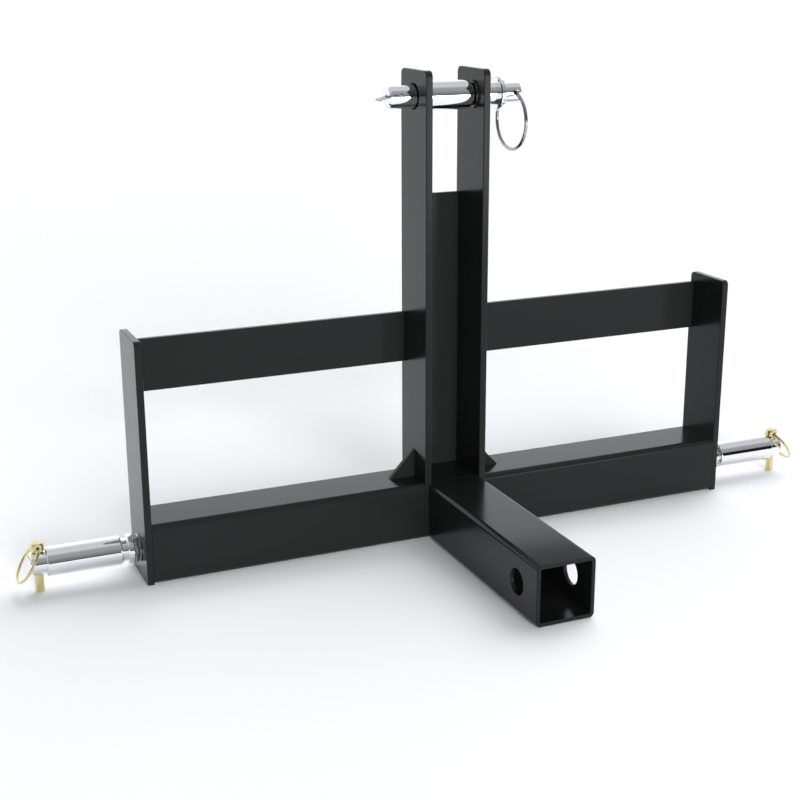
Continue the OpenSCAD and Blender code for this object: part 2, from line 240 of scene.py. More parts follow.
def deselect():
    """Leaves nothing selected, as the frame's nodes are when they are loaded."""
    if bpy.context.object and bpy.context.object.mode != "OBJECT":
        bpy.ops.object.mode_set(mode="OBJECT")
    bpy.ops.object.select_all(action="DESELECT")


def activate(piece):
    """Selects one piece alone."""
    deselect()
    piece.select_set(True)
    bpy.context.view_layer.objects.active = piece


def take(name):
    """Names the primitive just added and puts its place into its mesh."""
    piece = bpy.context.object
    piece.name = piece.data.name = name
    bpy.ops.object.transform_apply(location=True, rotation=True, scale=True)
    return piece


def add_block(name, low, high):
    """A box between two corners."""
    deselect()
    low, high = Vector(low), Vector(high)
    bpy.ops.mesh.primitive_cube_add(size=1, location=(low + high) / 2)
    bpy.context.object.scale = high - low
    return take(name)


def add_rod(name, centre, turn, radius, long, vertices=96, ends="NGON"):
    """A cylinder about a centre, its axis turned from upright."""
    deselect()
    bpy.ops.mesh.primitive_cylinder_add(
        vertices=vertices, radius=radius, depth=long, end_fill_type=ends,
        location=centre, rotation=turn,
    )
    return take(name)


def pick(piece, kind, wanted):
    """Opens a piece in edit mode with only the wanted parts of its mesh selected."""
    activate(piece)
    bpy.ops.object.mode_set(mode="EDIT")
    bpy.ops.mesh.select_mode(type=kind)
    bpy.ops.mesh.select_all(action="DESELECT")
    mesh = bmesh.from_edit_mesh(piece.data)
    parts = {"VERT": mesh.verts, "EDGE": mesh.edges, "FACE": mesh.faces}[kind]
    for part in parts:
        part.select_set(wanted(part))
    bmesh.update_edit_mesh(piece.data)


def runs_along(edge, axis):
    """Whether an edge runs along an axis."""
    step = edge.verts[1].co - edge.verts[0].co
    return abs(step[axis]) > PARALLEL * step.length


def bevel_edges(piece, radius, wanted, segments=8):
    """Rounds the wanted edges."""
    pick(piece, "EDGE", wanted)
    bpy.ops.mesh.bevel(
        offset=radius, segments=segments, profile=0.5, affect="EDGES", clamp_overlap=True,
    )
    bpy.ops.object.mode_set(mode="OBJECT")


def apply_modifier(piece, kind, **values):
    """Adds one modifier and applies it."""
    activate(piece)
    modifier = piece.modifiers.new(kind.title(), kind)
    for name, value in values.items():
        setattr(modifier, name, value)
    bpy.ops.object.modifier_apply(modifier=modifier.name)


def combine(piece, tool, operation):
    """Cuts a piece with a tool, or keeps what both share. The tool is used up."""
    apply_modifier(piece, "BOOLEAN", object=tool, operation=operation, solver="EXACT")
    bpy.data.objects.remove(tool)


def drill(piece, centre, turn, diameter, long):
    """Drills a round hole."""
    combine(piece, add_rod("drill", centre, turn, diameter / 2, long, vertices=64), "DIFFERENCE")


def smooth(piece, radius, stays_crisp=lambda edge: False, segments=3):
    """Rounds a piece's sharp edges, apart from those that stay crisp, and keeps its flat faces flat."""
    pick(piece, "VERT", lambda vertex: True)
    bpy.ops.mesh.remove_doubles(threshold=MERGE)
    bpy.ops.mesh.normals_make_consistent(inside=False)
    pick(piece, "EDGE", lambda edge: edge.calc_face_angle(0) > SMOOTH_ANGLE and not stays_crisp(edge))
    bpy.ops.mesh.bevel(
        offset=radius, segments=segments, profile=0.5, affect="EDGES", clamp_overlap=True,
        miter_outer="ARC",
    )
    activate(piece)
    bpy.ops.object.shade_smooth_by_angle(angle=SMOOTH_ANGLE)
    apply_modifier(piece, "WEIGHTED_NORMAL", mode="FACE_AREA", weight=100, keep_sharp=True)


def within(edge, axis, low, high):
    """Whether an edge lies between two places along an axis."""
    return all(low - MERGE < vertex.co[axis] < high + MERGE for vertex in edge.verts)


def turned(name, centre, axis, stations, vertices=96):
    """A closed piece turned about an axis through a centre, from (place, radius) stations along it."""
    deselect()
    along = Vector((0, 0, 0))
    along[axis] = 1
    place, radius = stations[0]
    bpy.ops.mesh.primitive_circle_add(
        vertices=vertices, radius=radius, fill_type="NGON",
        location=Vector(centre) + place * along, rotation=ALONG_X if axis == X else (0, 0, 0),
    )
    piece = take(name)
    pick(piece, "FACE", lambda face: True)
    for next_place, next_radius in stations[1:]:
        step = (next_place - place) * along
        bpy.ops.mesh.extrude_region_move(TRANSFORM_OT_translate={"value": step})
        grow = Vector((next_radius / radius,) * 3)
        grow[axis] = 1
        bpy.ops.transform.resize(value=grow, center_override=Vector(centre) + next_place * along)
        place, radius = next_place, next_radius
    bpy.ops.object.mode_set(mode="OBJECT")
    return piece


def start_wire(name, wire, at):
    """An open circle of wire that faces along Y, in edit mode and ready to be extruded or spun."""
    deselect()
    bpy.ops.mesh.primitive_circle_add(
        vertices=WIRE_SIDES, radius=wire / 2, fill_type="NOTHING", location=at, rotation=ALONG_Y,
    )
    piece = take(name)
    pick(piece, "EDGE", lambda edge: True)
    return piece


def run_wire(step):
    """Extrudes the wire's open end."""
    bpy.ops.mesh.extrude_region_move(TRANSFORM_OT_translate={"value": step})


def bend_wire(centre, axis, turn, steps):
    """Spins the wire's open end round a centre."""
    bpy.ops.mesh.spin(steps=steps, angle=turn, center=centre, axis=axis, use_auto_merge=False)


def close_wire(piece, edge):
    """Closes and rounds the wire's ends."""
    bpy.ops.mesh.select_all(action="SELECT")
    bpy.ops.mesh.remove_doubles(threshold=MERGE)
    bpy.ops.mesh.fill_holes(sides=0)
    bpy.ops.object.mode_set(mode="OBJECT")
    smooth(piece, edge)


def put(piece, place, turn):
    """Turns and moves a finished piece, with the place kept in its mesh."""
    activate(piece)
    piece.location = place
    piece.rotation_euler = turn
    bpy.ops.object.transform_apply(location=True, rotation=True, scale=True)


def hung_ring(name, outer, wire, hole_long, place, turn):
    """A ring of wire that hangs from a hole, centred along the hole, with its ends met inside it."""
    radius = (outer - wire) / 2
    seat = (radius - math.sqrt(radius ** 2 - hole_long ** 2 / 4)) / 2
    ring = start_wire(name, wire, (0, 0, seat))
    bend_wire((0, 0, seat - radius), (1, 0, 0), 2 * math.pi - RING_GAP / radius, RING_STEPS)
    close_wire(ring, RING_ROUND)
    put(ring, place, turn)
    return ring


def settle(piece, body, slot, node):
    """Gives a finished piece its body and its finish, and hides the node that it stands for."""
    piece.data.materials.clear()
    piece.data.materials.append(bpy.data.materials[slot])
    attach(piece, body)
    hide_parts(node)


# Finishes

# Height of the coat's specks, as a share of the orange peel's
SPECK_HEIGHT = 0.22
# Scale of the turning marks round the bar, as a share of that along it
ROUND_SCALE = 0.012


def add_node(tree, kind, place, inputs=None, **values):
    """A shader node with its settings and its plain input values."""
    node = tree.nodes.new(kind)
    node.location = place
    for name, value in values.items():
        setattr(node, name, value)
    for name, value in (inputs or {}).items():
        node.inputs[name].default_value = value
    return node


def link(tree, *links):
    """Links nodes, each link given as a node, its output, the next node and its input."""
    for giver, output, taker, socket in links:
        tree.links.new(giver.outputs[output], taker.inputs[socket])


def new_group(name, inputs, outputs):
    """An empty shader node group with named sockets, and its two end nodes."""
    group = bpy.data.node_groups.new(name, "ShaderNodeTree")
    for socket, (kind, value) in inputs.items():
        made = group.interface.new_socket(name=socket, in_out="INPUT", socket_type=kind)
        if value is not None:
            made.default_value = value
    for socket, kind in outputs.items():
        group.interface.new_socket(name=socket, in_out="OUTPUT", socket_type=kind)
    given = add_node(group, "NodeGroupInput", (-900, 0))
    return group, given, add_node(group, "NodeGroupOutput", (700, 0))


def peel_group():
    """Orange peel and fine specks of a baked coat."""
    group, given, out = new_group(
        "coat_peel",
        {
            "Vector": ("NodeSocketVector", None),
            "Peel Scale": ("NodeSocketFloat", 420.0),
            "Speck Scale": ("NodeSocketFloat", 1400.0),
        },
        {"Height": "NodeSocketFloat", "Mottle": "NodeSocketFloat"},
    )
    peel = add_node(group, "ShaderNodeTexNoise", (-600, 200), {"Detail": 2.0, "Roughness": 0.5})
    fine = add_node(group, "ShaderNodeTexVoronoi", (-600, -50), feature="F1", distance="EUCLIDEAN")
    mottle = add_node(group, "ShaderNodeTexNoise", (-600, -350), {"Scale": 9.0, "Detail": 4.0})
    specks = add_node(
        group, "ShaderNodeMapRange", (-350, -50),
        {"From Min": 0.0, "From Max": 0.35, "To Min": 1.0, "To Max": 0.0},
    )
    raised = add_node(
        group, "ShaderNodeMath", (-100, 100), {1: SPECK_HEIGHT}, operation="MULTIPLY_ADD",
    )
    link(
        group,
        (given, "Vector", peel, "Vector"),
        (given, "Vector", fine, "Vector"),
        (given, "Vector", mottle, "Vector"),
        (given, "Peel Scale", peel, "Scale"),
        (given, "Speck Scale", fine, "Scale"),
        (fine, "Distance", specks, "Value"),
        (specks, "Result", raised, 0),
        (peel, "Fac", raised, 2),
        (raised, "Value", out, "Height"),
        (mottle, "Fac", out, "Mottle"),
    )


def turning_group():
    """Rings left round a turned bar by its tool, close together along X."""
    group, given, out = new_group(
        "turning_marks",
        {"Vector": ("NodeSocketVector", None), "Marks": ("NodeSocketFloat", 2600.0)},
        {"Height": "NodeSocketFloat", "Streaks": "NodeSocketFloat"},
    )
    squash = add_node(
        group, "ShaderNodeVectorMath", (-650, 0), {1: (1.0, ROUND_SCALE, ROUND_SCALE)},
        operation="MULTIPLY",
    )
    rings = add_node(group, "ShaderNodeTexNoise", (-400, 150), {"Detail": 3.0, "Roughness": 0.7})
    bands = add_node(group, "ShaderNodeTexNoise", (-400, -150), {"Scale": 90.0, "Detail": 2.0})
    link(
        group,
        (given, "Vector", squash, 0),
        (squash, "Vector", rings, "Vector"),
        (squash, "Vector", bands, "Vector"),
        (given, "Marks", rings, "Scale"),
        (rings, "Fac", out, "Height"),
        (bands, "Fac", out, "Streaks"),
    )


def handling_group():
    """Soft smears and small marks from handling, and the flat crystals of a plating."""
    group, given, out = new_group(
        "handling",
        {
            "Vector": ("NodeSocketVector", None),
            "Smear Scale": ("NodeSocketFloat", 45.0),
            "Crystal Scale": ("NodeSocketFloat", 700.0),
        },
        {"Smears": "NodeSocketFloat", "Crystals": "NodeSocketFloat"},
    )
    smears = add_node(group, "ShaderNodeTexNoise", (-500, 150), {"Detail": 5.0, "Roughness": 0.6})
    sharpen = add_node(group, "ShaderNodeMapRange", (-250, 150), {"From Min": 0.4, "From Max": 0.7})
    crystals = add_node(group, "ShaderNodeTexVoronoi", (-500, -150), feature="F1")
    grey = add_node(group, "ShaderNodeSeparateColor", (-250, -150))
    link(
        group,
        (given, "Vector", smears, "Vector"),
        (given, "Vector", crystals, "Vector"),
        (given, "Smear Scale", smears, "Scale"),
        (given, "Crystal Scale", crystals, "Scale"),
        (smears, "Fac", sharpen, "Value"),
        (crystals, "Color", grey, "Color"),
        (sharpen, "Result", out, "Smears"),
        (grey, "Red", out, "Crystals"),
    )


def start_finish(name):
    """A new material in place of the frame's plain one, with its shader and object coordinates."""
    bpy.data.materials.remove(bpy.data.materials[name])
    material = bpy.data.materials.new(name)
    material.use_nodes = True
    tree = material.node_tree
    tree.nodes.clear()
    shader = add_node(tree, "ShaderNodeBsdfPrincipled", (300, 0))
    out = add_node(tree, "ShaderNodeOutputMaterial", (600, 0))
    link(tree, (shader, "BSDF", out, "Surface"))
    return tree, shader, add_node(tree, "ShaderNodeTexCoord", (-1100, 0))


def place_group(tree, coordinates, name, place, **inputs):
    """A copy of a shared effect in a material, fed by the object's own coordinates."""
    node = add_node(tree, "ShaderNodeGroup", place, node_tree=bpy.data.node_groups[name])
    for socket, value in inputs.items():
        node.inputs[socket.replace("_", " ")].default_value = value
    link(tree, (coordinates, "Object", node, "Vector"))
    return node


def blend_colours(tree, shader, mask, low, high):
    """Base colour between two colours by a mask."""
    mix = add_node(tree, "ShaderNodeMix", (0, 200), data_type="RGBA")
    mix.inputs["A"].default_value = (*low, 1)
    mix.inputs["B"].default_value = (*high, 1)
    tree.links.new(mask, mix.inputs["Factor"])
    link(tree, (mix, "Result", shader, "Base Color"))


def spread_roughness(tree, shader, mask, low, high):
    """Roughness between two values by a mask."""
    spread = add_node(tree, "ShaderNodeMapRange", (0, -50), {"To Min": low, "To Max": high})
    tree.links.new(mask, spread.inputs["Value"])
    link(tree, (spread, "Result", shader, "Roughness"))


def raise_surface(tree, shader, height, distance, strength=1.0):
    """Fine relief from a height."""
    bump = add_node(tree, "ShaderNodeBump", (0, -300), {"Distance": distance, "Strength": strength})
    tree.links.new(height, bump.inputs["Height"])
    link(tree, (bump, "Normal", shader, "Normal"))


def coat_finish(colours):
    """Gloss black powder coat: near-black, with a sheen at low angles, faint orange peel and specks."""
    tree, shader, coordinates = start_finish(COAT)
    peel = place_group(tree, coordinates, "coat_peel", (-500, 0), Peel_Scale=420.0, Speck_Scale=1400.0)
    blend_colours(tree, shader, peel.outputs["Mottle"], colours.coat, colours.coat_light)
    spread_roughness(tree, shader, peel.outputs["Mottle"], 0.17, 0.21)
    raise_surface(tree, shader, peel.outputs["Height"], 0.0015 * MM)
    shader.inputs["IOR"].default_value = 1.5
    shader.inputs["Specular Tint"].default_value = (0.15, 0.15, 0.15, 1)


def steel_finish(colours):
    """Bright plated steel with faint turning marks and smears."""
    tree, shader, coordinates = start_finish(STEEL)
    turning = place_group(tree, coordinates, "turning_marks", (-500, 200), Marks=2600.0)
    handling = place_group(tree, coordinates, "handling", (-500, -200), Smear_Scale=45.0)
    blend_colours(tree, shader, turning.outputs["Streaks"], colours.steel_dull, colours.steel)
    spread_roughness(tree, shader, handling.outputs["Smears"], 0.03, 0.07)
    raise_surface(tree, shader, turning.outputs["Height"], 0.0008 * MM)
    shader.inputs["Metallic"].default_value = 1.0


def zinc_finish(colours):
    """Clear zinc with small dull and bright crystals."""
    tree, shader, coordinates = start_finish(ZINC)
    handling = place_group(
        tree, coordinates, "handling", (-500, 0), Smear_Scale=120.0, Crystal_Scale=900.0,
    )
    blend_colours(tree, shader, handling.outputs["Crystals"], colours.zinc_dull, colours.zinc)
    spread_roughness(tree, shader, handling.outputs["Smears"], 0.08, 0.18)
    raise_surface(tree, shader, handling.outputs["Crystals"], 0.01 * MM)
    shader.inputs["Metallic"].default_value = 1.0


def gold_finish(colours):
    """Yellow zinc with pinkish patches."""
    tree, shader, coordinates = start_finish(GOLD)
    handling = place_group(
        tree, coordinates, "handling", (-500, 0), Smear_Scale=140.0, Crystal_Scale=1200.0,
    )
    blend_colours(tree, shader, handling.outputs["Smears"], colours.gold, colours.gold_pink)
    spread_roughness(tree, shader, handling.outputs["Crystals"], 0.20, 0.32)
    raise_surface(tree, shader, handling.outputs["Crystals"], 0.006 * MM)
    shader.inputs["Metallic"].default_value = 1.0


def wire_finish(colours):
    """Drawn spring wire with dark drawing marks."""
    tree, shader, coordinates = start_finish(WIRE)
    handling = place_group(
        tree, coordinates, "handling", (-500, 0), Smear_Scale=260.0, Crystal_Scale=1500.0,
    )
    blend_colours(tree, shader, handling.outputs["Smears"], colours.wire, colours.wire_dark)
    spread_roughness(tree, shader, handling.outputs["Smears"], 0.12, 0.24)
    raise_surface(tree, shader, handling.outputs["Crystals"], 0.004 * MM)
    shader.inputs["Metallic"].default_value = 1.0


# Studio


def aim_camera(studio):
    """Puts the camera at the photograph's place."""
    data = bpy.data.cameras.new("camera")
    data.sensor_width = 36.0
    data.lens = studio.lens
    data.clip_start, data.clip_end = 0.05, 200.0
    camera = bpy.data.objects.new("camera", data)
    bpy.context.scene.collection.objects.link(camera)
    place, aim = Vector(studio.place), Vector(studio.aim)
    turn = (aim - place).to_track_quat("-Z", "Y").to_matrix() @ Matrix.Rotation(-studio.roll, 3, "Z")
    camera.matrix_world = Matrix.Translation(place) @ turn.to_4x4()
    bpy.context.scene.camera = camera


def dress_matt(panel, name, shade):
    """Gives a panel of the studio a matt finish of one colour."""
    material = bpy.data.materials.new(name)
    material.use_nodes = True
    tree = material.node_tree
    tree.nodes.clear()
    matt = add_node(tree, "ShaderNodeBsdfDiffuse", (0, 0), {"Color": (*shade, 1)})
    out = add_node(tree, "ShaderNodeOutputMaterial", (300, 0))
    link(tree, (matt, "BSDF", out, "Surface"))
    panel.data.materials.append(material)


def white_floor(studio):
    """A pale floor that keeps the object's shadow and runs out to white."""
    deselect()
    bpy.ops.mesh.primitive_plane_add(size=studio.floor_size, location=(0, 0, -studio.floor_drop))
    floor = take("floor")
    dress_matt(floor, "pale_floor", studio.floor_colour)


# How the studio's surroundings look from the object, by the angle over the top from the camera's side
# to the far side: a dark strip where the floor ends, a dim room behind the camera, a pale ceiling and
# a white far wall
SURROUNDINGS = (
    (0.00, 0.03), (0.03, 0.03), (0.04, 0.20), (0.10, 0.20), (0.18, 0.31), (0.33, 0.36), (0.40, 0.64),
    (0.60, 0.60), (0.68, 0.74), (0.74, 1.06), (0.90, 1.16), (0.95, 1.50), (1.00, 1.50),
)
# Their tint, a little bluish
COOL = (0.985, 1.0, 1.04)


def surroundings(studio):
    """White for the camera, and for reflections a dim room, a pale ceiling and a white far wall."""
    world = bpy.data.worlds.new("studio")
    bpy.context.scene.world = world
    world.use_nodes = True
    tree = world.node_tree
    tree.nodes.clear()
    out = add_node(tree, "ShaderNodeOutputWorld", (900, 0))
    coordinates = add_node(tree, "ShaderNodeTexCoord", (-1100, 0))
    parts = add_node(tree, "ShaderNodeSeparateXYZ", (-900, 0))
    nearer = add_node(tree, "ShaderNodeMath", (-700, -150), {1: -1.0}, operation="MULTIPLY")
    over = add_node(tree, "ShaderNodeMath", (-500, 0), operation="ARCTAN2")
    turn = add_node(tree, "ShaderNodeMath", (-350, 0), {1: math.pi}, operation="DIVIDE")
    ramp = add_node(tree, "ShaderNodeValToRGB", (-200, 0))
    stops = ramp.color_ramp.elements
    while len(stops) < len(SURROUNDINGS):
        stops.new(0.5)
    for stop, (place, level) in zip(stops, SURROUNDINGS):
        stop.position = place
        stop.color = (*(level * share for share in COOL), 1)
    link(
        tree,
        (coordinates, "Generated", parts, "Vector"),
        (parts, "Y", nearer, 0),
        (parts, "Z", over, 0),
        (nearer, "Value", over, 1),
        (over, "Value", turn, 0),
        (turn, "Value", ramp, "Fac"),
    )
    path = add_node(tree, "ShaderNodeLightPath", (-200, 400))
    mirror = add_node(tree, "ShaderNodeMath", (200, 400), operation="MAXIMUM")
    room = add_node(tree, "ShaderNodeBackground", (200, 0))
    plain = {"Color": (1, 1, 1, 1)}
    white = add_node(tree, "ShaderNodeBackground", (200, 150), {**plain, "Strength": 1.0})
    even = add_node(tree, "ShaderNodeBackground", (200, -150), {**plain, "Strength": studio.sky})
    mirrored = add_node(tree, "ShaderNodeMixShader", (450, -50))
    shown = add_node(tree, "ShaderNodeMixShader", (700, 0))
    link(
        tree,
        (ramp, "Color", room, "Color"),
        (path, "Is Glossy Ray", mirror, 0),
        (path, "Is Transmission Ray", mirror, 1),
        (mirror, "Value", mirrored, "Fac"),
        (even, "Background", mirrored, 1),
        (room, "Background", mirrored, 2),
        (path, "Is Camera Ray", shown, "Fac"),
        (mirrored, "Shader", shown, 1),
        (white, "Background", shown, 2),
        (shown, "Shader", out, "Surface"),
    )


def add_lamp(name, kind, energy, from_side):
    """A lamp that shines from a side towards the middle."""
    data = bpy.data.lights.new(name, kind)
    data.energy = energy
    lamp = bpy.data.objects.new(name, data)
    bpy.context.scene.collection.objects.link(lamp)
    lamp.rotation_euler = Vector(from_side).to_track_quat("Z", "Y").to_euler()
    return lamp


def soft_sun(name, energy, spread, from_side):
    """A very wide, even lamp that reflections leave out."""
    lamp = add_lamp(name, "SUN", energy, from_side)
    lamp.data.angle = spread
    lamp.visible_glossy = False


def softbox(studio):
    """A bright panel in front on the right, which the polished pieces mirror."""
    lamp = add_lamp("softbox", "AREA", studio.box_power, studio.box_place)
    lamp.location = studio.box_place
    lamp.data.shape = "RECTANGLE"
    lamp.data.size, lamp.data.size_y = studio.box_size
    lamp.visible_camera = False


def black_flag(studio):
    """A black panel beside the softbox, which only the polished pieces mirror."""
    deselect()
    bpy.ops.mesh.primitive_plane_add(size=1, location=studio.flag_place, rotation=ALONG_Y)
    bpy.context.object.scale = (*studio.flag_size, 1)
    flag = take("flag")
    dress_matt(flag, "black_flag", studio.flag_colour)
    flag.visible_camera = flag.visible_diffuse = flag.visible_shadow = False


# Operators


class HITCH_OT_studio(bpy.types.Operator):
    """Sets up the camera, the pale floor, the white surroundings, the lamps and the flag"""

    bl_idname = "hitch.studio"
    bl_label = "Studio"

    def execute(self, context):
        studio = context.scene.hitch_studio
        aim_camera(studio)
        white_floor(studio)
        surroundings(studio)
        soft_sun("ceiling", studio.ceiling, studio.ceiling_spread, studio.ceiling_from)
        soft_sun("fill", studio.fill, studio.fill_spread, studio.fill_from)
        softbox(studio)
        black_flag(studio)
        context.scene.view_settings.view_transform = "Standard"
        return {"FINISHED"}


class HITCH_OT_finishes(bpy.types.Operator):
    """Makes the finishes and dresses the frame's own nodes in them"""

    bl_idname = "hitch.finishes"
    bl_label = "Finishes"

    def execute(self, context):
        colours = context.scene.hitch_colours
        for make_group in (peel_group, turning_group, handling_group):
            make_group()
        for make_finish in (coat_finish, steel_finish, zinc_finish, gold_finish, wire_finish):
            make_finish(colours)
        for part in frame["record"]["subparts"]:
            node = frame["nodes"][part["node"]]
            node.data.materials.clear()
            node.data.materials.append(bpy.data.materials[part["material_slot"]])
        return {"FINISHED"}


def outer_face(node, side):
    """The outer face of a node on its side of the frame, as a distance from the middle."""
    low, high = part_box(node)
    return max(side * low.x, side * high.x)


def inner_face(node, side):
    """The inner face of a node on its side of the frame, as a distance from the middle."""
    low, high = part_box(node)
    return min(side * low.x, side * high.x)


def middle(node):
    """Centre of a node's box."""
    low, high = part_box(node)
    return (low + high) / 2


def upright_plate(name, node, corner):
    """A plate on its foot with its two top corners round."""
    low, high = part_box(node)
    plate = add_block(name, low, high)
    bevel_edges(plate, corner, lambda edge: runs_along(edge, X) and edge.verts[0].co.z > high.z - MM)
    return plate


def cope(plate, corner):
    """Cuts a plate's foot to the crossbar's round corners."""
    low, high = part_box("crossbar_tube")
    bar = add_block("bar", low, high)
    bevel_edges(bar, corner, lambda edge: runs_along(edge, X), segments=10)
    combine(plate, bar, "DIFFERENCE")


def square_tube(name, node, axis, wall, corner):
    """An open tube along an axis, its wall inside its corners."""
    tube = add_block(name, *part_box(node))
    bevel_edges(tube, corner, lambda edge: runs_along(edge, axis), segments=10)
    pick(tube, "FACE", lambda face: abs(face.normal[axis]) > PARALLEL)
    bpy.ops.mesh.delete(type="FACE")
    apply_modifier(tube, "SOLIDIFY", thickness=wall, offset=-1, use_even_offset=True)
    return tube


class HITCH_OT_tubes(bpy.types.Operator):
    """Models the crossbar and the receiver tube with its cross hole"""

    bl_idname = "hitch.tubes"
    bl_label = "Tubes"

    def execute(self, context):
        sizes = context.scene.hitch_sizes
        wall = sizes.receiver_wall
        crossbar = square_tube("crossbar", "crossbar_tube", X, wall, sizes.crossbar_corner)
        smooth(crossbar, sizes.coat_edge, lambda edge: True)
        settle(crossbar, "frame", COAT, "crossbar_tube")
        receiver = square_tube("receiver", "receiver_tube", Y, wall, sizes.receiver_corner)
        low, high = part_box("receiver_tube")
        hole = (0, low.y + sizes.hitch_hole_in, (low.z + high.z) / 2)
        drill(receiver, hole, ALONG_X, sizes.hitch_hole, 2 * (high.x - low.x))
        smooth(receiver, sizes.coat_edge, lambda edge: within(edge, Y, high.y, high.y))
        settle(receiver, "frame", COAT, "receiver_tube")
        return {"FINISHED"}


class HITCH_OT_plates(bpy.types.Operator):
    """Models the end plates, mast plates, rails, back plate and gussets with coated edges"""

    bl_idname = "hitch.plates"
    bl_label = "Plates and rails"

    def execute(self, context):
        sizes = context.scene.hitch_sizes
        pins = context.scene.hitch_pins
        for side, _ in SIDES:
            end = upright_plate(f"end_plate_coated_{side}", f"end_plate_{side}", sizes.plate_corner)
            drill(end, middle(f"lock_nut_{side}"), ALONG_X, pins.stud + STUD_PLAY, THROUGH)
            self.coat(end, sizes, f"end_plate_{side}")
            mast = upright_plate(f"mast_plate_coated_{side}", f"mast_plate_{side}", sizes.mast_corner)
            drill(mast, middle("top_sleeve"), ALONG_X, sizes.top_hole, THROUGH)
            cope(mast, sizes.crossbar_corner)
            self.coat(mast, sizes, f"mast_plate_{side}", Z)
            rail = add_block(f"upper_rail_coated_{side}", *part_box(f"upper_rail_{side}"))
            self.coat(rail, sizes, f"upper_rail_{side}", X)
        back = add_block("mast_back_coated", *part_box("mast_back_plate"))
        cope(back, sizes.crossbar_corner)
        self.coat(back, sizes, "mast_back_plate", X, Z)
        for side, sign in SIDES:
            self.gusset(sizes, side, sign)
        return {"FINISHED"}

    def coat(self, piece, sizes, node, *butted):
        """Finishes a plate. Its edges stay crisp where it butts on other pieces along an axis."""
        low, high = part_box(node)

        def meets_another(edge):
            at_foot = Z in butted and within(edge, Z, low.z, max(low.z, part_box("crossbar_tube")[1].z))
            at_side = X in butted and (within(edge, X, low.x, low.x) or within(edge, X, high.x, high.x))
            return at_foot or at_side

        smooth(piece, sizes.coat_edge, meets_another)
        settle(piece, "frame", COAT, node)

    def gusset(self, sizes, side, sign):
        """A block cut off along the line from its top inner edge to its foot."""
        low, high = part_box(f"gusset_{side}")
        gusset = add_block(f"gusset_coated_{side}", low, high)
        pick(gusset, "FACE", lambda face: True)
        foot = Vector((high.x if sign > 0 else low.x, 0, low.z))
        bpy.ops.mesh.bisect(
            plane_co=foot, plane_no=(sign * (high.z - low.z), 0, high.x - low.x),
            use_fill=True, clear_outer=True,
        )
        bpy.ops.object.mode_set(mode="OBJECT")
        self.coat(gusset, sizes, f"gusset_{side}", X, Z)


class HITCH_OT_lower_pins(bpy.types.Operator):
    """Turns the lower pins with their flanges, and drills them for the linchpins"""

    bl_idname = "hitch.lower_pins"
    bl_label = "Lower pins"

    def execute(self, context):
        pins = context.scene.hitch_pins
        for side, sign in SIDES:
            node = f"lower_pin_{side}"
            nut = outer_face(f"lock_nut_{side}", sign)
            start, end = inner_face(node, sign), outer_face(node, sign)
            face = nut + pins.flange_thick
            low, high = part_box(node)
            stud, flange, pin = pins.stud / 2, (high.z - low.z) / 2, pins.pin / 2
            chamfer, edge = pins.chamfer, pins.edge_chamfer
            stations = (
                (start, stud - chamfer), (start + chamfer, stud), (nut, stud), (nut, flange - edge),
                (nut + edge, flange), (face - edge, flange), (face, flange - edge), (face, pin),
                (end - chamfer, pin), (end, pin - chamfer),
            )
            mirrored = [(sign * place, radius) for place, radius in stations]
            height = middle(node).z
            piece = turned(f"lower_pin_turned_{side}", (0, 0, height), X, mirrored)
            hole = (middle(f"linchpin_{side}").x, 0, height)
            drill(piece, hole, (0, 0, 0), pins.cross_hole, 2 * pins.pin)
            smooth(piece, pins.steel_edge)
            settle(piece, "frame", STEEL, node)
        return {"FINISHED"}


class HITCH_OT_nuts(bpy.types.Operator):
    """Models the washers and lock nuts at the feet of the lower pins"""

    bl_idname = "hitch.nuts"
    bl_label = "Nuts and washers"

    def execute(self, context):
        pins = context.scene.hitch_pins
        bore = pins.stud + 2 * pins.clearance
        for side, _ in SIDES:
            low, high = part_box(f"pin_washer_{side}")
            centre, radius = (low + high) / 2, (high.y - low.y) / 2
            washer = add_rod(f"washer_plated_{side}", centre, ALONG_X, radius, high.x - low.x)
            drill(washer, centre, ALONG_X, bore, THROUGH)
            smooth(washer, pins.steel_edge)
            settle(washer, "frame", ZINC, f"pin_washer_{side}")
            nut = self.nut(f"lock_nut_plated_{side}", f"lock_nut_{side}", pins)
            drill(nut, middle(f"lock_nut_{side}"), ALONG_X, bore, THROUGH)
            smooth(nut, pins.steel_edge)
            settle(nut, "frame", ZINC, f"lock_nut_{side}")
        return {"FINISHED"}

    def nut(self, name, node, pins):
        """A hexagon with its outer corners turned down."""
        low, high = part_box(node)
        flats = pins.nut_flats / 2
        half = math.radians(30)
        corners = flats / math.cos(half)
        nut = add_rod(name, (low + high) / 2, ALONG_X, corners, high.x - low.x, vertices=6)
        fall = (corners - flats) * math.tan(half)
        stations = ((low.x, flats), (low.x + fall, corners), (high.x - fall, corners), (high.x, flats))
        combine(nut, turned("barrel", (0, 0, (low.z + high.z) / 2), X, stations), "INTERSECT")
        return nut


